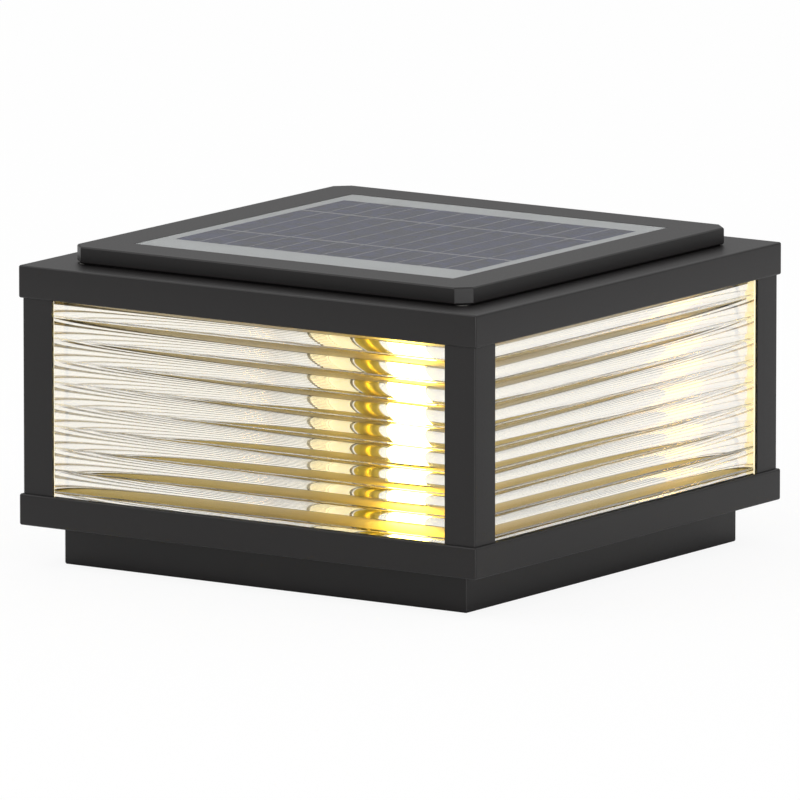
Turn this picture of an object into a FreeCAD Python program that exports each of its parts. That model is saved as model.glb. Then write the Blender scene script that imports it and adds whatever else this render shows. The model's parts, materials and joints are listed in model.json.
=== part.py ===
import FreeCAD, Part
import math
import os

from FreeCAD import Vector

# A square solar light for the top of a deck post, in millimetres. The origin is the centre of the
# underside, Z points up, and the front window faces -Y.

# Metal frame
band_width = 200.0
band_wall = 1.1
lower_band_height = 11.6
upper_band_height = 12.0
window_height = 72.0
lower_flange_width = 20.0
upper_flange_width = 24.0
edge_round = 0.8
post_leg = 13.1
post_wall = 1.2
corner_block_width = 18.0

# Collar below the lower band
collar_setback = 11.75
collar_height = 15.0
collar_wall = 1.5
collar_flange_width = 8.2

# Lid with the solar panel
lid_setback = 13.3
lid_height = 6.3
lid_gap = 0.3
lid_wall = 1.2
lid_corner_cut = 5.0
lid_bevel = 0.5
lid_flange_width = 10.7
panel_border = 17.05
panel_gap = 0.15
panel_ledge = 4.8
solar_board_thickness = 1.6
solar_cover_thickness = 0.5
solar_cover_rim = 0.4
cell_border_x = 5.0
cell_border_y = 15.25
cell_field_shift = 2.6
cell_count = 12
cell_gap = 0.5
cell_thickness = 0.25
busbar_spacing = 53.7
busbar_width = 1.2
busbar_thickness = 0.1
gasket_inset = 1.5

# Fluted clear panels
lens_thickness = 4.0
flute_pitch = 8.07
flute_foot_angle = 9.2
flute_lip_angle = 43.6
lowest_lip = 1.75
seal_thickness = 0.8
seal_set_back = 0.5
gasket_thickness = 0.5

# Floor and ceiling plates behind the windows
plate_thickness = 1.2
plate_drop = 1.0
plate_clearance = 0.1

# Light tube
tube_radius = 7.0
tube_wall = 1.0
tube_offset = 5.5
socket_wall = 1.4
socket_height = 4.0
socket_floor = 1.0
led_board_width = 9.0
led_board_thickness = 1.2
led_chip_width = 3.5
led_chip_height = 2.8
led_chip_thickness = 0.8
led_chip_pitch = 7.6

# Wiring between the solar head and the base
duct_radius = 4.75
duct_wall = 1.0
duct_inset = 13.2
lead_radius = 1.0
lead_bend = 6.0
lead_drop = 6.4
lead_rise = 6.2
panel_socket_inset = 21.0
panel_socket_radius = 6.0
panel_socket_height = 8.0
plug_radius = 4.0
plug_reach = 4.5
junction_box_size = 15.0
junction_box_height = 3.0

# Lid pegs
peg_radius = 2.5
peg_length = 7.0
peg_socket_wall = 1.9
peg_socket_length = 6.0

# Battery and control boxes in the base
base_clearance = 4.0
box_wall = 1.5
cell_radius = 9.15
cell_length = 65.0
cell_spacing = 19.2
contact_space = 5.0
contact_plate = 1.0
contact_height = 12.0
contact_spring_radius = 3.5
battery_y = 28.0
boss_radius = 3.0
cover_length = 56.0
cover_depth = 40.0
cover_y = -26.0
board_margin = 2.0
board_thickness = 1.6
board_spacer_height = 6.8
spacer_radius = 2.5
battery_lead_x = 20.0
part_margin = 1.5
inductor_radius = 5.0
inductor_height = 5.0
capacitor_radius = 3.0
capacitor_height = 8.0
capacitor_spacing = 8.0
chip_length = 6.0
chip_depth = 5.0
chip_height = 1.5
plug_block_length = 10.0
plug_block_depth = 5.0
plug_block_height = 4.5

# Push button
switch_width = 12.0
switch_height = 6.5
button_radius = 4.0
button_shank_radius = 2.5
button_shank_length = 3.5
button_flange = 1.2
button_flange_height = 1.0
button_travel = 1.2
button_stop_gap = 0.3
button_proud = 1.8

# Mounting plate on the post
plate_height = 1.5
post_hole_radius = 2.75
post_hole_spacing = 124.0
plate_window = 100.0
tab_width = 30.0
tab_height = 11.0
collar_fit = 0.15
side_screw_height = 7.0

# Screws
frame_screw_radius = 1.5
frame_screw_length = 8.0
head_ratio = 1.8
head_height = 2.2
side_screw_radius = 2.0
side_screw_length = 8.0
box_screw_radius = 1.3
box_screw_length = 5.0

# Clearances
screw_fit = 0.05
hole_fit = 0.3
sliding_fit = 0.05
soft_gap = 0.3
same = 1e-6

# Levels, from the underside up
lower_band_bottom = collar_height
lower_band_top = lower_band_bottom + lower_band_height
upper_band_bottom = lower_band_top + window_height
upper_band_top = upper_band_bottom + upper_band_height
lid_bottom = upper_band_top + lid_gap
lid_top = lid_bottom + lid_height
floor_top = lower_band_top - plate_drop
floor_bottom = floor_top - plate_thickness
ceiling_bottom = upper_band_bottom + plate_drop
ceiling_top = ceiling_bottom + plate_thickness
lens_bottom = floor_top + gasket_thickness
lens_top = ceiling_bottom - gasket_thickness
flange_top = lower_band_bottom + band_wall
flute_angles = [math.radians(angle) for angle in (flute_foot_angle, flute_lip_angle)]
flute_radius = flute_pitch / (math.sin(flute_angles[0]) + math.sin(flute_angles[1]))
upper_flange_bottom = upper_band_top - band_wall

# Half widths, from the outside in
band_half = band_width / 2
post_half = band_half - band_wall
post_inner = post_half - post_wall
lens_half = post_inner - seal_thickness
lens_inner = lens_half - lens_thickness
plate_half = post_inner - plate_clearance
block_inner = plate_half - corner_block_width
window_half = post_half - post_leg
lower_flange_inner = band_half - lower_flange_width
upper_flange_inner = band_half - upper_flange_width
collar_half = band_half - collar_setback
collar_inner = collar_half - collar_wall
collar_flange_inner = collar_half - collar_flange_width
lid_half = band_half - lid_setback
lid_flange_inner = lid_half - lid_flange_width
mounting_half = collar_inner - collar_fit
panel_half = lid_half - panel_border
cell_field_x = 2 * (panel_half - cell_border_x)
cell_field_y = 2 * (panel_half - cell_border_y)


def box(x0, y0, z0, x1, y1, z1):
    return Part.makeBox(x1 - x0, y1 - y0, z1 - z0, Vector(x0, y0, z0))


def centred_box(x, y, length, depth, z0, z1):
    return box(x - length / 2, y - depth / 2, z0, x + length / 2, y + depth / 2, z1)


def square(half, z0, z1):
    return box(-half, -half, z0, half, half, z1)


def square_ring(outer, inner, z0, z1):
    return square(outer, z0, z1).cut(square(inner, z0 - 1, z1 + 1))


def cylinder(x, y, radius, z0, z1):
    return Part.makeCylinder(radius, z1 - z0, Vector(x, y, z0))


def tube(x, y, outer, inner, z0, z1):
    return cylinder(x, y, outer, z0, z1).cut(cylinder(x, y, inner, z0 - 1, z1 + 1))


def turned(shape, quarter_turns):
    copy = shape.copy()
    copy.rotate(Vector(0, 0, 0), Vector(0, 0, 1), 90 * quarter_turns)
    return copy


def four_corners(distance):
    return [(x, y) for x in (-distance, distance) for y in (-distance, distance)]


def four_sides(shape):
    return [turned(shape, turns) for turns in range(4)]


def joined(shapes):
    result = shapes[0]
    for shape in shapes[1:]:
        result = result.fuse(shape)
    return result.removeSplitter()


def cut_all(shape, tools):
    for tool in tools:
        shape = shape.cut(tool)
    return shape


def rounded_upright_edges(shape, half, radius):
    """Rounds the four upright edges at the corners of a square of this half width."""
    def at_corner(vertex):
        return abs(abs(vertex.X) - half) < same and abs(abs(vertex.Y) - half) < same

    edges = [edge for edge in shape.Edges if all(at_corner(vertex) for vertex in edge.Vertexes)]
    return shape.makeFillet(radius, edges)


def cut_corner_outline(half, corner_cut, z):
    near = half - corner_cut
    corners = [(half, -near), (half, near), (near, half), (-near, half),
               (-half, near), (-half, -near), (-near, -half), (near, -half)]
    points = [Vector(x, y, z) for x, y in corners]
    return Part.Face(Part.makePolygon(points + points[:1]))


def cut_corner_prism(inset, z0, z1):
    """The lid's outline, moved in by inset all round, as a solid."""
    corner_cut = lid_corner_cut - inset * (2 - math.sqrt(2))
    return cut_corner_outline(lid_half - inset, corner_cut, z0).extrude(Vector(0, 0, z1 - z0))


def screw(x, y, z, radius, length, direction):
    """A pan-head screw: z is under the head, and direction is the way its shaft points, +1 or -1."""
    axis = Vector(0, 0, direction)
    shaft = Part.makeCylinder(radius, length, Vector(x, y, z), axis)
    head = Part.makeCylinder(radius * head_ratio, head_height, Vector(x, y, z), -axis)
    return shaft.fuse(head).removeSplitter()


def lead(points):
    """A round cable along straight runs joined by tangent arcs."""
    edges = []
    start = points[0]
    for before, corner, after in zip(points, points[1:], points[2:]):
        back = (before - corner).normalize()
        onward = (after - corner).normalize()
        half_turn = (math.pi - back.getAngle(onward)) / 2
        reach = lead_bend * math.tan(half_turn)
        arc_start = corner + back * reach
        arc_end = corner + onward * reach
        middle = (back + onward).normalize() * (lead_bend / math.cos(half_turn) - lead_bend)
        edges.append(Part.LineSegment(start, arc_start).toShape())
        edges.append(Part.Arc(arc_start, corner + middle, arc_end).toShape())
        start = arc_end
    edges.append(Part.LineSegment(start, points[-1]).toShape())
    route = Part.Wire(edges)
    section = Part.Wire(Part.makeCircle(lead_radius, points[0], points[1] - points[0]))
    return route.makePipeShell([section], True, True)


# Frame

def make_base_collar():
    wall = square_ring(collar_half, collar_inner, 0, collar_height)
    flange = square_ring(collar_half, collar_flange_inner, collar_height - collar_wall, collar_height)
    collar = rounded_upright_edges(joined([wall, flange]), collar_half, edge_round)
    holes = [cylinder(x, y, frame_screw_radius + hole_fit, 0, collar_height + 1)
             for x, y in four_corners(frame_screw_place)]
    return cut_all(collar, holes + side_screw_holes(side_screw_radius + hole_fit))


def make_lower_frame():
    wall = square_ring(band_half, post_half, lower_band_bottom, lower_band_top)
    flange = square_ring(band_half, lower_flange_inner, lower_band_bottom, flange_top)
    frame = rounded_upright_edges(joined([wall, flange]), band_half, edge_round)
    holes = [cylinder(x, y, frame_screw_radius + hole_fit, lower_band_bottom - 1, flange_top + 1)
             for x, y in four_corners(frame_screw_place)]
    return cut_all(frame, holes)


def make_upper_frame():
    wall = square_ring(band_half, post_half, upper_band_bottom, upper_band_top)
    flange = square_ring(band_half, upper_flange_inner, upper_flange_bottom, upper_band_top)
    frame = rounded_upright_edges(joined([wall, flange]), band_half, edge_round)
    holes = [countersink(x, y, screw_fit) for x, y in four_corners(upper_screw_place)]
    peg_hole = cylinder(peg_place, 0, peg_radius + hole_fit, upper_flange_bottom - 1, upper_band_top + 1)
    return cut_all(frame, holes + four_sides(peg_hole))


def countersink(x, y, gap):
    """The head of a countersunk frame screw, as thick as the upper flange."""
    small = frame_screw_radius + gap
    large = small + band_wall
    return Part.makeCone(small, large, band_wall, Vector(x, y, upper_flange_bottom))


def make_post():
    """The front left post, an angle with its legs behind the two bands."""
    outer = box(-post_half, -post_half, flange_top, -window_half, -window_half, upper_flange_bottom)
    inner = box(-post_inner, -post_inner, flange_top - 1, 0, 0, upper_flange_bottom + 1)
    return rounded_upright_edges(outer.cut(inner), post_half, edge_round)


def corner_blocks(z0, z1, screw_place):
    blocks = []
    for x, y in four_corners((block_inner + plate_half) / 2):
        block = centred_box(x, y, corner_block_width, corner_block_width, z0, z1)
        hole = cylinder(math.copysign(screw_place, x), math.copysign(screw_place, y),
                        frame_screw_radius + screw_fit, z0 - 1, z1 + 1)
        blocks.append(block.cut(hole))
    return blocks


def make_lower_screws():
    z = collar_height - collar_wall
    return [screw(x, y, z, frame_screw_radius, frame_screw_length, 1)
            for x, y in four_corners(frame_screw_place)]


def make_upper_screws():
    screws = []
    for x, y in four_corners(upper_screw_place):
        shaft = cylinder(x, y, frame_screw_radius, upper_band_top - frame_screw_length, upper_band_top)
        screws.append(shaft.fuse(countersink(x, y, 0)).removeSplitter())
    return screws


frame_screw_place = collar_inner - frame_screw_radius * head_ratio - soft_gap
upper_screw_place = block_inner + frame_screw_radius * head_ratio
peg_place = upper_flange_inner + peg_radius + peg_socket_wall


# Windows

def flute_depth(above_lip):
    """How far the surface lies behind the lips, at this height above the lip below it."""
    foot = flute_radius * math.sin(flute_angles[0])
    deepest = flute_radius * (1 - math.cos(flute_angles[1]))
    return deepest - flute_radius + math.sqrt(flute_radius ** 2 - (above_lip - foot) ** 2)


def fluted_profile():
    """The section of a front panel: flat behind, and in front hollow flutes, each with a lip over it."""
    def point(z, lip):
        return Vector(0, -lens_half + flute_depth(z - lip), z)

    edges = []
    start = lens_bottom
    lip = lens_bottom + lowest_lip - flute_pitch
    while start < lens_top - same:
        stop = min(lip + flute_pitch, lens_top)
        arc = Part.Arc(point(start, lip), point((start + stop) / 2, lip), point(stop, lip))
        edges.append(arc.toShape())
        end = point(stop, lip)
        if stop < lens_top - same:
            lip = stop
            edges.append(Part.LineSegment(end, point(lip, lip)).toShape())
        start = stop
    first = Vector(0, -lens_half + flute_depth(flute_pitch - lowest_lip), lens_bottom)
    back = [end, Vector(0, -lens_inner, lens_top), Vector(0, -lens_inner, lens_bottom), first]
    for near, far in zip(back, back[1:]):
        edges.append(Part.LineSegment(near, far).toShape())
    return Part.Face(Part.Wire(edges))


def fluted_panel(half_length):
    profile = fluted_profile()
    profile.translate(Vector(-half_length, 0, 0))
    return profile.extrude(Vector(2 * half_length, 0, 0))


def make_corner_seals():
    reach = window_half + seal_set_back
    outer = box(-post_inner, -post_inner, lens_bottom, -reach, -reach, lens_top)
    inner = box(-lens_half, -lens_half, lens_bottom - 1, 0, 0, lens_top + 1)
    return four_sides(outer.cut(inner))


def make_plate(z0, z1, holes):
    plate = square(plate_half, z0, z1)
    return cut_all(plate, [cylinder(x, y, radius, z0 - 1, z1 + 1) for x, y, radius in holes])


# Light tube

def make_light_tube():
    return tube(0, tube_offset, tube_radius, tube_radius - tube_wall,
                floor_top + socket_floor, ceiling_bottom - socket_floor)


def make_tube_socket(z0, z1, floor_z0, floor_z1):
    """An end socket: a ring round the tube with a floor that has a hole for the lead."""
    ring = tube(0, tube_offset, tube_radius + socket_wall, tube_radius + screw_fit, z0, z1)
    floor = tube(0, tube_offset, tube_radius + socket_wall, lead_hole_radius, floor_z0, floor_z1)
    return joined([ring, floor])


def make_led_chips():
    chips = []
    space = ceiling_bottom - floor_top - 2 * socket_height
    count = int(space // led_chip_pitch)
    middle = (ceiling_bottom + floor_top) / 2
    for number in range(count):
        z = middle + (number - (count - 1) / 2) * led_chip_pitch
        for side in (-1, 1):
            y = tube_offset + side * (led_board_thickness + led_chip_thickness) / 2
            chips.append(centred_box(0, y, led_chip_width, led_chip_thickness,
                                     z - led_chip_height / 2, z + led_chip_height / 2))
    return chips


lead_hole_radius = lead_radius + hole_fit
duct_x = duct_inset - window_half
duct_y = lens_inner - soft_gap - duct_radius
panel_socket_x = panel_socket_inset - upper_flange_inner
panel_socket_y = upper_flange_inner - panel_socket_inset
duct_hole = (duct_x, duct_y, duct_radius - duct_wall)
tube_hole = (0, tube_offset, lead_hole_radius)
lower_lead_z = floor_bottom - lead_drop
upper_lead_z = ceiling_top + lead_rise
cover_top_y = cover_y + cover_depth / 2
battery_length = cell_length + 2 * contact_space + 2 * box_wall
battery_depth = 2 * cell_radius + cell_spacing + 2 * soft_gap + 2 * box_wall
battery_front_y = battery_y - battery_depth / 2


# Wiring

def make_panel_lead():
    socket = Vector(panel_socket_x, panel_socket_y, upper_lead_z)
    over_duct = Vector(duct_x, duct_y, upper_lead_z)
    out = (over_duct - socket).normalize()
    under_duct = Vector(duct_x, duct_y, lower_lead_z)
    entry_y = cover_y + cover_depth / 4
    beside_cover = Vector(duct_x, entry_y, lower_lead_z)
    cover_wall = Vector(-cover_length / 2, entry_y, lower_lead_z)
    start = socket + out * (panel_socket_radius + screw_fit)
    return lead([start, over_duct, under_duct, beside_cover, cover_wall])


def make_led_lead():
    top = Vector(0, tube_offset, floor_top + socket_floor)
    under = Vector(0, tube_offset, lower_lead_z)
    return lead([top, under, Vector(0, cover_top_y, lower_lead_z)])


def make_battery_leads():
    leads = []
    for x in (battery_lead_x - 2 * lead_radius, battery_lead_x + 2 * lead_radius):
        start = Vector(x, cover_top_y, lower_lead_z)
        leads.append(Part.makeCylinder(lead_radius, battery_front_y - cover_top_y, start, Vector(0, 1, 0)))
    return leads


# Base

def box_screw_places(length, y):
    reach = length / 2 + boss_radius - soft_gap
    return [(-reach, y), (reach, y)]


def open_box(y, length, depth, z0, places):
    """Four walls that hang from the floor plate, with screw bosses at both ends."""
    walls = centred_box(0, y, length, depth, z0, floor_bottom)
    bosses = [cylinder(x, boss_y, boss_radius, z0, floor_bottom) for x, boss_y in places]
    hollow = centred_box(0, y, length - 2 * box_wall, depth - 2 * box_wall, z0 - 1, floor_bottom + 1)
    holes = [cylinder(x, boss_y, box_screw_radius + screw_fit, z0 - 1, z0 + box_screw_length)
             for x, boss_y in places]
    return cut_all(joined([walls] + bosses), [hollow] + holes)


def box_lid(y, length, depth, places):
    plate = centred_box(0, y, length, depth, base_clearance, base_clearance + box_wall)
    ears = [cylinder(x, ear_y, boss_radius, base_clearance, base_clearance + box_wall)
            for x, ear_y in places]
    holes = [cylinder(x, ear_y, box_screw_radius + screw_fit, 0, base_clearance + box_wall + 1)
             for x, ear_y in places]
    return cut_all(joined([plate] + ears), holes)


def box_screws(places):
    head = min(head_height, base_clearance - plate_height - soft_gap)
    screws = []
    for x, y in places:
        shaft = cylinder(x, y, box_screw_radius, base_clearance, base_clearance + box_screw_length)
        top = cylinder(x, y, box_screw_radius * head_ratio, base_clearance - head, base_clearance)
        screws.append(shaft.fuse(top).removeSplitter())
    return screws


def battery_places():
    return [place for offset in (-cell_spacing / 2, cell_spacing / 2)
            for place in box_screw_places(battery_length, battery_y + offset)]


def battery_cell_height():
    return base_clearance + box_wall + soft_gap + cell_radius


def make_battery_cells():
    cells = []
    for side in (-1, 1):
        start = Vector(-cell_length / 2, battery_y + side * cell_spacing / 2, battery_cell_height())
        cells.append(Part.makeCylinder(cell_radius, cell_length, start, Vector(1, 0, 0)))
    return cells


def make_battery_contacts():
    contacts = []
    for end in (-1, 1):
        for side in (-1, 1):
            y = battery_y + side * cell_spacing / 2
            z = battery_cell_height()
            outer = cell_length / 2 + contact_space
            plate = box(outer - contact_plate, y - contact_height / 2, z - contact_height / 2,
                        outer, y + contact_height / 2, z + contact_height / 2)
            cell_end = Vector(cell_length / 2, y, z)
            spring = Part.makeCone(contact_spring_radius / 2, contact_spring_radius,
                                   contact_space - contact_plate, cell_end, Vector(1, 0, 0))
            contact = plate.fuse(spring).removeSplitter()
            contacts.append(contact if end > 0 else turned_about_y(contact))
    return contacts


def turned_about_y(shape):
    return shape.mirror(Vector(0, 0, 0), Vector(1, 0, 0))


board_top = floor_bottom - board_spacer_height
board_bottom = board_top - board_thickness
switch_bottom = board_bottom - switch_height
board_length = cover_length - 2 * box_wall - 2 * board_margin
board_depth = cover_depth - 2 * box_wall - 2 * board_margin
cover_places = box_screw_places(cover_length, cover_y)


def make_control_board():
    return centred_box(0, cover_y, board_length, board_depth, board_bottom, board_top)


def make_board_parts():
    """An inductor, two capacitors and two chips under the board, and a plug block on top of it."""
    side = board_length / 2 - part_margin
    back = cover_y + board_depth / 2 - part_margin
    front = cover_y - board_depth / 2 + part_margin
    inductor = cylinder(inductor_radius - side, back - inductor_radius, inductor_radius,
                        board_bottom - inductor_height, board_bottom)
    capacitors = [cylinder(x, back - capacitor_radius, capacitor_radius,
                           board_bottom - capacitor_height, board_bottom)
                  for x in (side - capacitor_radius, side - capacitor_radius - capacitor_spacing)]
    chips = [centred_box(x, front + chip_depth / 2, chip_length, chip_depth,
                         board_bottom - chip_height, board_bottom)
             for x in (chip_length / 2 - side, side - chip_length / 2)]
    plug_block = centred_box(0, back - plug_block_depth / 2, plug_block_length, plug_block_depth,
                             board_top, board_top + plug_block_height)
    return [inductor, plug_block] + capacitors + chips


def make_board_spacers():
    inset = spacer_radius + soft_gap
    return [cylinder(x, y, spacer_radius, board_top, floor_bottom)
            for x in (-board_length / 2 + inset, board_length / 2 - inset)
            for y in (cover_y - board_depth / 2 + inset, cover_y + board_depth / 2 - inset)]


def make_control_cover():
    walls = open_box(cover_y, cover_length, cover_depth, base_clearance + box_wall, cover_places)
    bottom = box_lid(cover_y, cover_length, cover_depth, cover_places)
    button_hole = cylinder(0, cover_y, button_radius + hole_fit, 0, base_clearance + box_wall + 1)
    return joined([walls, bottom]).cut(button_hole)


def make_switch_body():
    body = centred_box(0, cover_y, switch_width, switch_width, switch_bottom, board_bottom)
    bore_top = switch_bottom + button_shank_length + button_travel
    return body.cut(cylinder(0, cover_y, button_shank_radius + sliding_fit, switch_bottom - 1, bore_top))


def make_switch_button():
    """A cap with a stop flange inside the cover, and a shank that slides in the switch."""
    flange_z = base_clearance + box_wall + button_stop_gap
    cap_top = switch_bottom - button_travel - button_stop_gap
    cap = cylinder(0, cover_y, button_radius, base_clearance - button_proud, cap_top)
    flange = cylinder(0, cover_y, button_radius + button_flange, flange_z, flange_z + button_flange_height)
    shank_top = switch_bottom + button_shank_length - soft_gap
    shank = cylinder(0, cover_y, button_shank_radius, cap_top - 1, shank_top)
    return joined([cap, flange, shank])


# Mounting plate

def side_screw_holes(radius):
    """Holes through the collar and the tabs on the back and the left."""
    depth = collar_wall + collar_fit + plate_height + 2
    back = Part.makeCylinder(radius, depth, Vector(0, collar_half + 1, side_screw_height), Vector(0, -1, 0))
    return [back, turned(back, 1)]


def make_mounting_plate():
    ring = square_ring(mounting_half, plate_window / 2, 0, plate_height)
    tab = box(-tab_width / 2, mounting_half - plate_height, 0, tab_width / 2, mounting_half, tab_height)
    holes = [cylinder(x, y, post_hole_radius, -1, plate_height + 1)
             for x, y in four_corners(post_hole_spacing / 2)]
    holes += side_screw_holes(side_screw_radius + screw_fit)
    return cut_all(joined([ring] + four_sides(tab)), holes)


def make_side_screws():
    back = screw(0, 0, 0, side_screw_radius, side_screw_length, -1)
    back.rotate(Vector(0, 0, 0), Vector(1, 0, 0), -90)
    back.translate(Vector(0, collar_half, side_screw_height))
    return [back, turned(back, 1)]


# Solar head

solar_cover_top = lid_top - lid_bevel / 5
solar_cover_bottom = solar_cover_top - solar_cover_thickness
solar_board_top = solar_cover_bottom - solar_cover_rim
solar_board_bottom = solar_board_top - solar_board_thickness
opening_half = panel_half + panel_gap
ledge_bottom = solar_board_bottom - lid_wall


def make_lid_shell():
    """A shallow tray turned upside down, with a stepped seat for the panel and a flange below."""
    outside = cut_corner_prism(0, lid_bottom, lid_top)
    rims = [edge for edge in outside.Edges if abs(edge.Vertexes[0].Z - edge.Vertexes[-1].Z) < same]
    outside = outside.makeChamfer(lid_bevel, rims)
    hollow = cut_corner_prism(lid_wall, lid_bottom + lid_wall, lid_top - lid_wall)
    below = square(lid_flange_inner, lid_bottom - 1, lid_bottom + lid_wall + 1)
    shell = outside.cut(hollow).cut(below).cut(square(opening_half, lid_top - 2 * lid_wall, lid_top + 1))
    seat_wall = square_ring(opening_half + lid_wall, opening_half, ledge_bottom, lid_top - lid_wall)
    ledge = square_ring(opening_half + lid_wall, opening_half - panel_ledge,
                        ledge_bottom, solar_board_bottom)
    return joined([shell, seat_wall, ledge])


def make_lid_gasket():
    outside = cut_corner_prism(gasket_inset, upper_band_top, lid_bottom)
    inside = square(peg_place + peg_radius + soft_gap, upper_band_top - 1, lid_bottom + 1)
    return outside.cut(inside)


def make_lid_pegs():
    peg = cylinder(peg_place, 0, peg_radius, lid_bottom - peg_length, lid_bottom)
    tip = [edge for edge in peg.Edges if edge.Closed and edge.Vertexes[0].Z < lid_bottom - peg_length / 2]
    return four_sides(peg.makeChamfer(lid_bevel, tip))


def make_peg_sockets():
    socket = tube(peg_place, 0, peg_radius + peg_socket_wall, peg_radius + sliding_fit,
                  upper_flange_bottom - peg_socket_length, upper_flange_bottom)
    return four_sides(socket)


def make_solar_cells():
    pitch = cell_field_x / cell_count
    cells = []
    for number in range(cell_count):
        x = (number - (cell_count - 1) / 2) * pitch
        cells.append(centred_box(x, cell_field_shift, pitch - cell_gap, cell_field_y,
                                 solar_board_top, solar_board_top + cell_thickness))
    return cells


def make_busbars():
    bottom = solar_board_top + cell_thickness
    top = bottom + busbar_thickness
    places = [cell_field_shift + side * busbar_spacing / 2 for side in (-1, 1)]
    return [centred_box(0, y, cell_field_x, busbar_width, bottom, top) for y in places]


def make_solar_cover():
    cover = square(panel_half, solar_board_top, solar_cover_top)
    pocket = centred_box(0, cell_field_shift, cell_field_x + 2 * cell_gap, cell_field_y + 2 * cell_gap,
                         solar_board_top - 1, solar_cover_bottom)
    return cover.cut(pocket)


def make_junction_box():
    return centred_box(panel_socket_x, panel_socket_y, junction_box_size, junction_box_size,
                       ledge_bottom - junction_box_height + lid_wall, solar_board_bottom)


def make_panel_plug():
    top = ledge_bottom - junction_box_height + lid_wall
    return cylinder(panel_socket_x, panel_socket_y, plug_radius,
                    ceiling_top + panel_socket_height - plug_reach, top)


def make_panel_socket():
    top = ceiling_top + panel_socket_height
    body = cylinder(panel_socket_x, panel_socket_y, panel_socket_radius, ceiling_top, top)
    return body.cut(cylinder(panel_socket_x, panel_socket_y, plug_radius + sliding_fit,
                             top - plug_reach - soft_gap, top + 1))


post_names = ["post_front_left", "post_front_right", "post_back_right", "post_back_left"]
long_panel = fluted_panel(lens_half)
short_panel = fluted_panel(lens_inner)
led_board = centred_box(0, tube_offset, led_board_width, led_board_thickness,
                        floor_top + socket_floor, ceiling_bottom - socket_floor)

nodes = {
    "base_collar": [make_base_collar()],
    "lower_frame": [make_lower_frame()],
    "upper_frame": [make_upper_frame()],
    "corner_blocks_lower": corner_blocks(flange_top, floor_bottom, frame_screw_place),
    "corner_blocks_upper": corner_blocks(ceiling_top, upper_flange_bottom, upper_screw_place),
    "frame_screws_lower": make_lower_screws(),
    "frame_screws_upper": make_upper_screws(),
    "lens_front": [long_panel],
    "lens_right": [turned(short_panel, 1)],
    "lens_back": [turned(long_panel, 2)],
    "lens_left": [turned(short_panel, 3)],
    "corner_seals": make_corner_seals(),
    "sill_gasket": [square_ring(lens_half, lens_inner, floor_top, lens_bottom)],
    "head_gasket": [square_ring(lens_half, lens_inner, lens_top, ceiling_bottom)],
    "floor_plate": [make_plate(floor_bottom, floor_top, [duct_hole, tube_hole])],
    "ceiling_plate": [make_plate(ceiling_bottom, ceiling_top, [duct_hole])],
    "light_tube": [make_light_tube()],
    "tube_socket_lower": [make_tube_socket(floor_top, floor_top + socket_height,
                                           floor_top, floor_top + socket_floor)],
    "tube_socket_upper": [make_tube_socket(ceiling_bottom - socket_height, ceiling_bottom,
                                           ceiling_bottom - socket_floor, ceiling_bottom)],
    "led_board": [led_board],
    "led_chips": make_led_chips(),
    "wire_duct": [tube(duct_x, duct_y, duct_radius, duct_radius - duct_wall, floor_top, ceiling_bottom)],
    "panel_socket": [make_panel_socket()],
    "panel_lead": [make_panel_lead()],
    "led_lead": [make_led_lead()],
    "battery_leads": make_battery_leads(),
    "battery_box": [open_box(battery_y, battery_length, battery_depth,
                             base_clearance + box_wall, battery_places())],
    "battery_cells": make_battery_cells(),
    "battery_contacts": make_battery_contacts(),
    "battery_door": [box_lid(battery_y, battery_length, battery_depth, battery_places())],
    "door_screws": box_screws(battery_places()),
    "control_board": [make_control_board()],
    "board_parts": make_board_parts(),
    "board_spacers": make_board_spacers(),
    "control_cover": [make_control_cover()],
    "cover_screws": box_screws(cover_places),
    "switch_body": [make_switch_body()],
    "switch_button": [make_switch_button()],
    "mounting_plate": [make_mounting_plate()],
    "side_screws": make_side_screws(),
    "peg_sockets": make_peg_sockets(),
    "lid_shell": [make_lid_shell()],
    "lid_gasket": [make_lid_gasket()],
    "lid_pegs": make_lid_pegs(),
    "solar_board": [square(panel_half, solar_board_bottom, solar_board_top)],
    "solar_cells": make_solar_cells(),
    "solar_busbars": make_busbars(),
    "solar_cover": [make_solar_cover()],
    "junction_box": [make_junction_box()],
    "panel_plug": [make_panel_plug()],
}
for post_name, post in zip(post_names, four_sides(make_post())):
    nodes[post_name] = [post]

os.makedirs("parts", exist_ok=True)
for name, solids in nodes.items():
    shape = solids[0] if len(solids) == 1 else Part.makeCompound(solids)
    shape.exportStep(os.path.join("parts", name + ".step"))
    print(name, len(shape.Solids), shape.isValid(), round(shape.Volume, 1))
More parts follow.
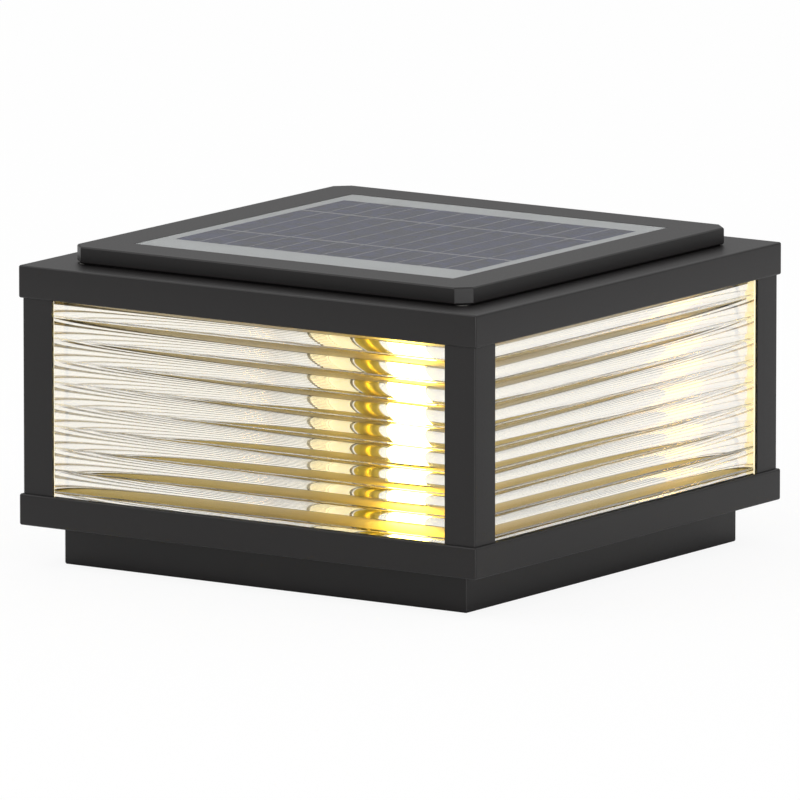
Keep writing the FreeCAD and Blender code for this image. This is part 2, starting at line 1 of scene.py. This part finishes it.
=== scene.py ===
import bpy
import json
import math
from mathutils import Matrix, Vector

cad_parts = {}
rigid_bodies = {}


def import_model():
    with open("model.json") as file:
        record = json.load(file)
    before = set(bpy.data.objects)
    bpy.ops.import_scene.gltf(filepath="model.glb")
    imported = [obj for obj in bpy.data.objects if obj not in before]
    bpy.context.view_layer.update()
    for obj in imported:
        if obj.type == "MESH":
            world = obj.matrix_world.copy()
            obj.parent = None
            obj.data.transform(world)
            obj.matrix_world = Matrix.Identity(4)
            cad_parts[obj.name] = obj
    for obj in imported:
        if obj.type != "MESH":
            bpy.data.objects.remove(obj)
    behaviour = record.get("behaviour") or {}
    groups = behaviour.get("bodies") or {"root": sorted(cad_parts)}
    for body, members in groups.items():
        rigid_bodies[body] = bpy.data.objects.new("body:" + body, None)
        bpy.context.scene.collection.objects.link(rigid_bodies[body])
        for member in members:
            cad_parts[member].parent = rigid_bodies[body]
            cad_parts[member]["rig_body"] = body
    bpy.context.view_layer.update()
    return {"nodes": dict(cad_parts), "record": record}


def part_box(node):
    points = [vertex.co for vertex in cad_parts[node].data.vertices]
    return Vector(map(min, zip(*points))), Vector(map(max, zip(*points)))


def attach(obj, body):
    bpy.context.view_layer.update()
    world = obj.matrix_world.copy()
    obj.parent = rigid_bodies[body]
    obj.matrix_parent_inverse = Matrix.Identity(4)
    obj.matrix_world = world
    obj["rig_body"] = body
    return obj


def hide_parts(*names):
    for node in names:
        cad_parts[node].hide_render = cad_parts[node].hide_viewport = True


# A square solar light for a post top, dressed for its picture. Metres, Z up, front window towards -Y.

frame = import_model()
nodes = frame["nodes"]
mm = 0.001
hair = 0.001 * mm  # points closer than this are one point
sharpAngle = math.radians(30)  # edges that turn more than this are shaded sharp and bevelled
flatAngle = math.radians(0.5)  # faces that turn less than this are one face
print("frame loaded,", len(nodes), "nodes")


# Handling pieces

def deselectAll():
    if bpy.context.mode != "OBJECT":
        bpy.ops.object.mode_set(mode="OBJECT")
    bpy.ops.object.select_all(action="DESELECT")


def makeActive(piece):
    deselectAll()
    piece.select_set(True)
    bpy.context.view_layer.objects.active = piece


def applyPlace(piece):
    makeActive(piece)
    bpy.ops.object.transform_apply(location=True, rotation=True, scale=True)


def bevelEdges(piece, width, segments, harden=True):
    makeActive(piece)
    bpy.ops.object.shade_smooth_by_angle(angle=sharpAngle)
    bevel = piece.modifiers.new("edges", "BEVEL")
    bevel.limit_method = "ANGLE"
    bevel.angle_limit = sharpAngle
    bevel.width = width
    bevel.segments = segments
    bevel.harden_normals = harden
    bevel.use_clamp_overlap = False
    bpy.ops.object.modifier_apply(modifier=bevel.name)


def nodeCopy(name, node):
    # A merged copy of a node's mesh, for pieces whose shape only needs its edges and shading refined
    piece = bpy.data.objects.new(name, nodes[node].data.copy())
    bpy.context.scene.collection.objects.link(piece)
    piece.data.materials.clear()
    makeActive(piece)
    bpy.ops.mesh.customdata_custom_splitnormals_clear()
    bpy.ops.object.mode_set(mode="EDIT")
    bpy.ops.mesh.select_all(action="SELECT")
    bpy.ops.mesh.remove_doubles(threshold=hair)
    bpy.ops.mesh.dissolve_limited(angle_limit=flatAngle)
    bpy.ops.object.mode_set(mode="OBJECT")
    return piece


def dress(piece, node):
    slot = nodeSlots[node]
    piece.data.materials.clear()
    piece.data.materials.append(finishes[slot])
    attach(piece, nodes[node]["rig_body"])
    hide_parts(node)


# Shader maths: a wire is a socket that takes part in sums

class Wire:
    def __init__(self, owner, socket):
        self.owner = owner
        self.socket = socket

    def __add__(self, other):
        return self.owner.math("ADD", self, other)

    def __radd__(self, other):
        return self.owner.math("ADD", other, self)

    def __sub__(self, other):
        return self.owner.math("SUBTRACT", self, other)

    def __rsub__(self, other):
        return self.owner.math("SUBTRACT", other, self)

    def __mul__(self, other):
        return self.owner.math("MULTIPLY", self, other)

    def __rmul__(self, other):
        return self.owner.math("MULTIPLY", other, self)


class NodeTree:
    def __init__(self, tree):
        self.tree = tree

    def node(self, kind, settings=None, inputs=None, output=0):
        made = self.tree.nodes.new(kind)
        for name, value in (settings or {}).items():
            setattr(made, name, value)
        for name, value in (inputs or {}).items():
            self.feed(made.inputs[name], value)
        return Wire(self, made.outputs[output])

    def feed(self, socket, value):
        if isinstance(value, Wire):
            self.tree.links.new(value.socket, socket)
        else:
            socket.default_value = value

    def math(self, operation, first, second):
        return self.node("ShaderNodeMath", {"operation": operation}, {0: first, 1: second})

    def mixColor(self, factor, first, second):
        return self.node("ShaderNodeMix", {"data_type": "RGBA"}, {0: factor, 6: first, 7: second}, output=2)

    def noise(self, place, scale, detail):
        return self.node("ShaderNodeTexNoise", {}, {"Vector": place, "Scale": scale, "Detail": detail})

    def band(self, value, low, high):
        # Rises from 0 to 1 as the value goes from low to high
        return self.node("ShaderNodeMapRange", {"interpolation_type": "SMOOTHSTEP"},
                         {"Value": value, "From Min": low, "From Max": high})


class Finish(NodeTree):
    def __init__(self, name, fixed):
        self.material = bpy.data.materials.new(name)
        self.material.use_nodes = True
        super().__init__(self.material.node_tree)
        self.surface = self.tree.nodes["Principled BSDF"]
        self.place = self.node("ShaderNodeTexCoord", output="Object")
        for socket, value in fixed.items():
            self.surface.inputs[socket].default_value = value

    def set(self, socket, value):
        self.feed(self.surface.inputs[socket], value)

    def mottle(self, factor, color, dark):
        self.set("Base Color", self.mixColor(factor, shaded(color, dark), opaque(color)))

    def bump(self, height, strength, distance):
        self.set("Normal", self.node("ShaderNodeBump", {}, {"Height": height, "Strength": strength,
                                                             "Distance": distance}))


def opaque(color):
    return (*color, 1)


def shaded(color, amount):
    return tuple(channel * amount for channel in color) + (1,)


powder = {"color": (0.0060, 0.0048, 0.0048), "specular": 0.42, "dark": 0.82, "grain": 1500,
          "clouds": 90, "roughness": 0.43, "roughnessSpread": 0.12, "bump": 0.25, "depth": 0.05 * mm}


def powderCoat():
    coat = Finish("charcoalPowderCoat", {"Specular IOR Level": powder["specular"]})
    grain = coat.noise(coat.place, powder["grain"], detail=3)
    clouds = coat.noise(coat.place, powder["clouds"], detail=4)
    coat.mottle(clouds, powder["color"], powder["dark"])
    coat.set("Roughness", powder["roughness"] + powder["roughnessSpread"] * (grain - 0.5))
    coat.bump(grain, powder["bump"], powder["depth"])
    return coat.material


sheetGrain = {"stretch": (1, 0.15, 1), "grain": 700, "clouds": 60, "roughnessSpread": 0.12,
              "depth": 0.04 * mm}
bronze = {"color": (0.40, 0.27, 0.015), "dark": 0.6, "roughness": 0.36, "bump": 0.15}
reflector = {"color": (0.58, 0.40, 0.018), "dark": 0.85, "roughness": 0.40, "bump": 0.12}


def rolledSheet(name, look):
    sheet = Finish(name, {"Metallic": 1.0})
    rolled = sheet.node("ShaderNodeMapping", {}, {"Vector": sheet.place, "Scale": sheetGrain["stretch"]})
    grain = sheet.noise(rolled, sheetGrain["grain"], detail=3)
    clouds = sheet.noise(sheet.place, sheetGrain["clouds"], detail=3)
    sheet.mottle(clouds, look["color"], look["dark"])
    sheet.set("Roughness", look["roughness"] + sheetGrain["roughnessSpread"] * (grain - 0.5))
    sheet.bump(grain, look["bump"], sheetGrain["depth"])
    return sheet.material


# The specular tint turns the clear panels' reflections gold: a painted reflection of the warm light inside,
# not a colour of the acrylic
acrylic = {"color": (1.0, 0.98, 0.93, 1), "ior": 1.49, "wave": 35, "waveBump": 0.15, "waveDepth": 0.03 * mm,
           "haze": 0.03, "hazeRoughness": 0.18, "paintedGoldReflection": (1.0, 0.74, 0.20, 1)}


def clearAcrylic():
    lens = Finish("clearAcrylic", {"Base Color": acrylic["color"], "Roughness": 0.0, "IOR": acrylic["ior"],
                                   "Transmission Weight": 1.0, "Specular Tint": acrylic["paintedGoldReflection"]})
    lens.bump(lens.noise(lens.place, acrylic["wave"], detail=1), acrylic["waveBump"], acrylic["waveDepth"])
    haze = lens.node("ShaderNodeBsdfPrincipled", {}, {"Base Color": acrylic["color"], "IOR": acrylic["ior"],
                                                      "Roughness": acrylic["hazeRoughness"],
                                                      "Transmission Weight": 1.0})
    clear = Wire(lens, lens.surface.outputs["BSDF"])
    both = lens.node("ShaderNodeMixShader", {}, {0: acrylic["haze"], 1: clear, 2: haze})
    lens.feed(lens.tree.nodes["Material Output"].inputs["Surface"], both)
    return lens.material


glow = {"color": (1.0, 0.78, 0.17), "strength": 16.0, "frost": 400, "frostDim": 0.94,
        "unlit": (0.9, 0.85, 0.75), "roughness": 0.5}


def glowingTube():
    tube = Finish("frostedTubeLit", {"Base Color": opaque(glow["unlit"]), "Roughness": glow["roughness"],
                                     "Emission Strength": glow["strength"]})
    frost = tube.noise(tube.place, glow["frost"], detail=2)
    dim = shaded(glow["color"], glow["frostDim"])
    tube.set("Emission Color", tube.mixColor(frost, dim, opaque(glow["color"])))
    return tube.material


board = {"color": (0.75, 0.77, 0.77), "dark": 0.9, "roughness": 0.5, "weave": 1600,
         "clouds": 50, "bump": 0.1, "depth": 0.02 * mm}


def panelBoard():
    white = Finish("whiteSolderMask", {"Roughness": board["roughness"]})
    weave = white.node("ShaderNodeTexChecker", {}, {"Vector": white.place, "Scale": board["weave"]},
                       output="Fac")
    clouds = white.noise(white.place, board["clouds"], detail=3)
    white.mottle(clouds, board["color"], board["dark"])
    white.bump(weave, board["bump"], board["depth"])
    return white.material


silicon = {"color": (0.010, 0.014, 0.050), "flake": (0.024, 0.036, 0.150), "flakeScale": 260,
           "fingerPitch": 1.9 * mm, "fingerWidth": 0.09 * mm, "fingerColor": (0.35, 0.36, 0.38),
           "roughness": 0.32, "roughnessSpread": 0.1}


def solarCell():
    cell = Finish("blueSilicon", {})
    flakes = cell.node("ShaderNodeTexVoronoi", {}, {"Vector": cell.place, "Scale": silicon["flakeScale"]},
                       output="Color")
    tone = cell.node("ShaderNodeSeparateColor", {}, {"Color": flakes})
    across = cell.node("ShaderNodeSeparateXYZ", {}, {"Vector": cell.place}, output="X")
    phase = cell.math("PINGPONG", across, silicon["fingerPitch"] / 2)
    finger = 1 - cell.band(phase, silicon["fingerWidth"] / 2, silicon["fingerWidth"])
    blue = cell.mixColor(tone, opaque(silicon["color"]), opaque(silicon["flake"]))
    cell.set("Base Color", cell.mixColor(finger, blue, opaque(silicon["fingerColor"])))
    cell.set("Roughness", silicon["roughness"] + silicon["roughnessSpread"] * tone)
    return cell.material


resin = {"color": (0.97, 0.98, 0.98, 1), "roughness": 0.09, "ior": 1.46, "ripple": 90, "bump": 0.15,
         "depth": 0.05 * mm}


def panelResin():
    clear = Finish("clearPanelResin", {"Base Color": resin["color"], "Roughness": resin["roughness"],
                                       "IOR": resin["ior"], "Transmission Weight": 1.0})
    clear.bump(clear.noise(clear.place, resin["ripple"], detail=2), resin["bump"], resin["depth"])
    return clear.material


moulding = {"clouds": 80, "dark": 0.85, "roughnessSpread": 0.12, "depth": 0.05 * mm}
plastics = {
    # white_silicone gets a painted glow: a faint warm emission on seals that are no lamp
    "white_silicone": {"color": (0.86, 0.84, 0.79), "roughness": 0.55, "grain": 700, "bump": 0.1,
                       "glow": (1.0, 0.88, 0.56), "glowStrength": 0.85},
    "black_rubber": {"color": (0.012, 0.012, 0.012), "roughness": 0.70, "grain": 1200, "bump": 0.3},
    "white_plastic": {"color": (0.78, 0.77, 0.73), "roughness": 0.40, "grain": 900, "bump": 0.1},
    "black_plastic": {"color": (0.016, 0.016, 0.017), "roughness": 0.48, "grain": 1300, "bump": 0.3},
    "red_plastic": {"color": (0.42, 0.014, 0.010), "roughness": 0.28, "grain": 600, "bump": 0.08},
    "lead_black": {"color": (0.014, 0.014, 0.014), "roughness": 0.45, "grain": 500, "bump": 0.15},
    "battery_wrap": {"color": (0.02, 0.09, 0.30), "roughness": 0.25, "grain": 150, "bump": 0.1},
    "led_yellow": {"color": (0.85, 0.62, 0.12), "roughness": 0.45, "grain": 2500, "bump": 0.2},
}


def mouldedPlastic(name, look):
    plastic = Finish(name, {})
    grain = plastic.noise(plastic.place, look["grain"], detail=3)
    clouds = plastic.noise(plastic.place, moulding["clouds"], detail=2)
    plastic.mottle(clouds, look["color"], moulding["dark"])
    plastic.set("Roughness", look["roughness"] + moulding["roughnessSpread"] * (grain - 0.5))
    plastic.bump(grain, look["bump"], moulding["depth"])
    if "glow" in look:
        # Painted glow: the seals emit a faint warm light of their own, standing in for light carried to them
        # along the clear panels
        plastic.set("Emission Color", opaque(look["glow"]))
        plastic.set("Emission Strength", look["glowStrength"])
    return plastic.material


metalGrain = {"dark": 0.8, "roughnessSpread": 0.2, "bump": 0.15, "depth": 0.04 * mm}
metals = {
    "die_cast_zinc": {"color": (0.36, 0.36, 0.37), "roughness": 0.48, "grain": 900, "stretch": (1, 1, 1)},
    "zinc_steel": {"color": (0.55, 0.54, 0.50), "roughness": 0.30, "grain": 600, "stretch": (1, 0.3, 1)},
    "nickel_contact": {"color": (0.62, 0.60, 0.56), "roughness": 0.22, "grain": 500, "stretch": (1, 1, 1)},
    "solder_ribbon": {"color": (0.62, 0.63, 0.65), "roughness": 0.38, "grain": 1400, "stretch": (0.2, 1, 1)},
}


def bareMetal(name, look):
    metal = Finish(name, {"Metallic": 1.0})
    drawn = metal.node("ShaderNodeMapping", {}, {"Vector": metal.place, "Scale": look["stretch"]})
    grain = metal.noise(drawn, look["grain"], detail=3)
    metal.mottle(grain, look["color"], metalGrain["dark"])
    metal.set("Roughness", look["roughness"] + metalGrain["roughnessSpread"] * (grain - 0.5))
    metal.bump(grain, metalGrain["bump"], metalGrain["depth"])
    return metal.material


circuit = {"mask": (0.012, 0.10, 0.045), "maskLight": (0.016, 0.13, 0.055), "trace": (0.04, 0.20, 0.09),
           "traceWidth": 0.01, "scale": 220, "roughness": 0.4}


def circuitBoard():
    green = Finish("greenCircuitBoard", {"Roughness": circuit["roughness"]})
    green.set("Base Color", green.node("ShaderNodeTexBrick", {}, {
        "Vector": green.place, "Scale": circuit["scale"], "Color1": opaque(circuit["mask"]),
        "Color2": opaque(circuit["maskLight"]), "Mortar": opaque(circuit["trace"]),
        "Mortar Size": circuit["traceWidth"]}))
    return green.material


finishes = {
    "charcoal_metal": powderCoat(),
    "bronze_black_metal": rolledSheet("darkBronzePlate", bronze),
    "brass_reflector": rolledSheet("brassReflector", reflector),
    "clear_acrylic": clearAcrylic(),
    "frosted_acrylic": glowingTube(),
    "panel_white": panelBoard(),
    "solar_silicon": solarCell(),
    "panel_glass": panelResin(),
    "green_board": circuitBoard(),
}
for slot, look in plastics.items():
    finishes[slot] = mouldedPlastic(slot, look)
for slot, look in metals.items():
    finishes[slot] = bareMetal(slot, look)
nodeSlots = {row["node"]: row["material_slot"] for row in frame["record"]["subparts"]}
for node, slot in nodeSlots.items():
    for holder in nodes[node].material_slots:
        holder.material = finishes[slot]
print("finishes made,", len(finishes))


# Frame, collar, lid and smaller pieces, with their edges broken

edges = {
    "lower_frame": ("lowerBand", 0.30 * mm),
    "upper_frame": ("upperBand", 0.30 * mm),
    "base_collar": ("collarSkirt", 0.30 * mm),
    "post_front_left": ("postFrontLeft", 0.20 * mm),
    "post_front_right": ("postFrontRight", 0.20 * mm),
    "post_back_right": ("postBackRight", 0.20 * mm),
    "post_back_left": ("postBackLeft", 0.20 * mm),
    "lid_shell": ("lidTray", 0.15 * mm),
    "wire_duct": ("wireDuct", 0.20 * mm),
    "panel_socket": ("panelSocket", 0.20 * mm),
    "peg_sockets": ("pegSockets", 0.15 * mm),
    "lid_pegs": ("lidPegs", 0.10 * mm),
    "corner_blocks_upper": ("cornerBlocksUpper", 0.30 * mm),
    "mounting_plate": ("mountingPlate", 0.15 * mm),
    "panel_lead": ("panelLead", 0.05 * mm),
}
for node, (name, width) in edges.items():
    piece = nodeCopy(name, node)
    bevelEdges(piece, width, segments=2)
    dress(piece, node)
print("edges broken on", len(edges), "pieces")


# Screws that show, with a cross recess in each head

recess = {"length": 4.0 * mm, "width": 0.9 * mm, "depth": 1.2 * mm, "smallLength": 3.0 * mm,
          "smallWidth": 0.7 * mm, "smallDepth": 0.7 * mm, "edge": 0.06 * mm, "headRadius": 2.6 * mm}


def crossRecess(piece, middle, axis, length, width, depth):
    for across in (length, width):
        size = [across, length + width - across]
        size.insert(axis, 2 * depth)
        deselectAll()
        bpy.ops.mesh.primitive_cube_add(size=1, location=middle)
        cutter = bpy.context.object
        cutter.scale = size
        applyPlace(cutter)
        makeActive(piece)
        cut = piece.modifiers.new("recess", "BOOLEAN")
        cut.operation = "DIFFERENCE"
        cut.object = cutter
        bpy.ops.object.modifier_apply(modifier=cut.name)
        bpy.data.objects.remove(cutter)


low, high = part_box("side_screws")
sideScrews = nodeCopy("sideScrews", "side_screws")
screwHeight = (low.z + high.z) / 2
crossRecess(sideScrews, (0, high.y, screwHeight), 1, recess["length"], recess["width"], recess["depth"])
crossRecess(sideScrews, (low.x, 0, screwHeight), 0, recess["length"], recess["width"], recess["depth"])
bevelEdges(sideScrews, recess["edge"], segments=2)
dress(sideScrews, "side_screws")

low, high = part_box("frame_screws_upper")
upperScrews = nodeCopy("upperScrews", "frame_screws_upper")
reach = high.x - recess["headRadius"]
for x in (-reach, reach):
    for y in (-reach, reach):
        crossRecess(upperScrews, (x, y, high.z), 2, recess["smallLength"], recess["smallWidth"],
                    recess["smallDepth"])
dress(upperScrews, "frame_screws_upper")
print("screw recesses cut")


# Clear panels with hollow flutes, each leaning out to a lip with a ledge over it, flat behind

flutes = {"pitch": 8.07 * mm, "footAngle": math.radians(9.2), "lipAngle": math.radians(43.6),
          "lowestLip": 1.75 * mm, "rows": 72, "edge": 0.04 * mm}  # rows of points up one flute


def fluteDepth(aboveLip):
    radius = flutes["pitch"] / (math.sin(flutes["footAngle"]) + math.sin(flutes["lipAngle"]))
    fromDeepest = aboveLip - radius * math.sin(flutes["footAngle"])
    return math.sqrt(radius ** 2 - fromDeepest ** 2) - radius * math.cos(flutes["lipAngle"])


def panelSection(outerFace, thickness, bottom, top):
    # Outline of a front panel as (y, z): up the fluted face, then down the flat back
    points = []
    start = bottom
    lip = bottom + flutes["lowestLip"] - flutes["pitch"]
    while start < top - hair:
        stop = min(lip + flutes["pitch"], top)
        rows = math.ceil(flutes["rows"] * (stop - start) / flutes["pitch"])
        for row in range(rows + 1):
            z = start + (stop - start) * row / rows
            points.append((fluteDepth(z - lip) - outerFace, z))
        lip += flutes["pitch"]
        start = stop
    back = thickness - outerFace
    return points + [(back, top), (back, bottom)]


def flutedPanel(name, node, quarterTurns):
    low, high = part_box(node)
    size = high - low
    length = max(size.x, size.y)
    across = (quarterTurns + 1) % 2
    outerFace = max(abs(low[across]), abs(high[across]))
    points = panelSection(outerFace, min(size.x, size.y), low.z, high.z)
    deselectAll()
    bpy.ops.mesh.primitive_circle_add(vertices=len(points), fill_type="NGON")
    panel = bpy.context.object
    panel.name = name
    for vertex, (y, z) in zip(panel.data.vertices, points):
        vertex.co = (-length / 2, y, z)
    bpy.ops.object.mode_set(mode="EDIT")
    bpy.ops.mesh.select_all(action="SELECT")
    bpy.ops.mesh.extrude_region_move(TRANSFORM_OT_translate={"value": (length, 0, 0)})
    bpy.ops.mesh.select_all(action="SELECT")
    bpy.ops.mesh.normals_make_consistent(inside=False)
    bpy.ops.object.mode_set(mode="OBJECT")
    bevelEdges(panel, flutes["edge"], segments=2, harden=False)
    panel.rotation_euler = (0, 0, quarterTurns * math.pi / 2)
    applyPlace(panel)
    dress(panel, node)


for turns, side in enumerate(["front", "right", "back", "left"]):
    flutedPanel(side + "Window", "lens_" + side, turns)
print("fluted windows made")


# Solar panel: clear resin over the cells, sunk slightly into the board

cover = {"sunk": 0.05 * mm, "edge": 0.12 * mm}
low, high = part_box("solar_cover")
bottom = Vector((low.x, low.y, low.z - cover["sunk"]))
deselectAll()
bpy.ops.mesh.primitive_cube_add(size=1, location=(bottom + high) / 2)
resinSheet = bpy.context.object
resinSheet.name = "panelResin"
resinSheet.scale = high - bottom
applyPlace(resinSheet)
bevelEdges(resinSheet, cover["edge"], segments=3)
dress(resinSheet, "solar_cover")
print("solar panel made")


# Studio: pale floor, surroundings that are dimmer near the horizon, a large soft lamp and a small one
# for the corner of the lid

studio = {"floorSize": 9.0, "floorColor": (0.93, 0.93, 0.93), "floorWhite": 0.90,
          "horizon": 0.30, "overhead": 1.0, "skyFrom": 0.10, "skyTo": 0.55,
          "lamps": {"softLamp": ((-0.9, -1.2, 1.9), 1.8, 9.0),  # place, size, power
                    "cornerLamp": ((1.66, -1.12, 0.2), 0.35, 9.0)}}


def seenDirectly(tree):
    camera = tree.node("ShaderNodeLightPath", output="Is Camera Ray")
    through = tree.node("ShaderNodeLightPath", output="Is Transmission Ray")
    return tree.math("MAXIMUM", camera, through)


deselectAll()
bpy.ops.mesh.primitive_plane_add(size=studio["floorSize"])
floor = bpy.context.object
floor.name = "studioFloor"
floorPaint = Finish("paleFloor", {})
floorPaint.tree.nodes.remove(floorPaint.surface)
matte = floorPaint.node("ShaderNodeBsdfDiffuse", {}, {"Color": opaque(studio["floorColor"])})
white = floorPaint.node("ShaderNodeEmission", {}, {"Strength": 1.0})
mixed = floorPaint.node("ShaderNodeMixShader", {}, {0: studio["floorWhite"] * seenDirectly(floorPaint),
                                                    1: matte, 2: white})
floorPaint.feed(floorPaint.tree.nodes["Material Output"].inputs["Surface"], mixed)
floor.data.materials.append(floorPaint.material)

world = bpy.data.worlds.new("softStudio")
world.use_nodes = True
bpy.context.scene.world = world
sky = NodeTree(world.node_tree)
upward = sky.node("ShaderNodeSeparateXYZ", {}, {"Vector": sky.node("ShaderNodeTexCoord", output="Generated")},
                  output="Z")
brightness = studio["horizon"] + (studio["overhead"] - studio["horizon"]) * sky.band(
    upward, studio["skyFrom"], studio["skyTo"])
direct = seenDirectly(sky)
sky.feed(sky.tree.nodes["Background"].inputs["Color"], (1, 1, 1, 1))
sky.feed(sky.tree.nodes["Background"].inputs["Strength"], direct + brightness * (1 - direct))

for name, (place, size, power) in studio["lamps"].items():
    deselectAll()
    bpy.ops.object.light_add(type="AREA", location=place)
    lamp = bpy.context.object
    lamp.name = name
    lamp.data.size = size
    lamp.data.energy = power
    lamp.rotation_euler = (-Vector(place)).to_track_quat("-Z", "Y").to_euler()
print("studio set")


# Camera at the photograph's angle, from far away

view = {"target": Vector((-0.74, 0.0, 56.4)) * mm, "azimuth": math.radians(34.2716),
        "elevation": math.radians(9.7116), "distance": 5783.2 * mm, "lens": 714.1, "sensor": 36.0}
outward = math.cos(view["elevation"])
backward = Vector((math.sin(view["azimuth"]) * outward, -math.cos(view["azimuth"]) * outward,
                   math.sin(view["elevation"])))
deselectAll()
bpy.ops.object.camera_add(location=view["target"] + backward * view["distance"],
                          rotation=(math.pi / 2 - view["elevation"], 0, view["azimuth"]))
camera = bpy.context.object
camera.name = "photoCamera"
camera.data.sensor_width = view["sensor"]
camera.data.lens = view["lens"]
camera.data.dof.use_dof = False
bpy.context.scene.camera = camera
bpy.context.scene.view_settings.view_transform = "Standard"
print("camera placed")
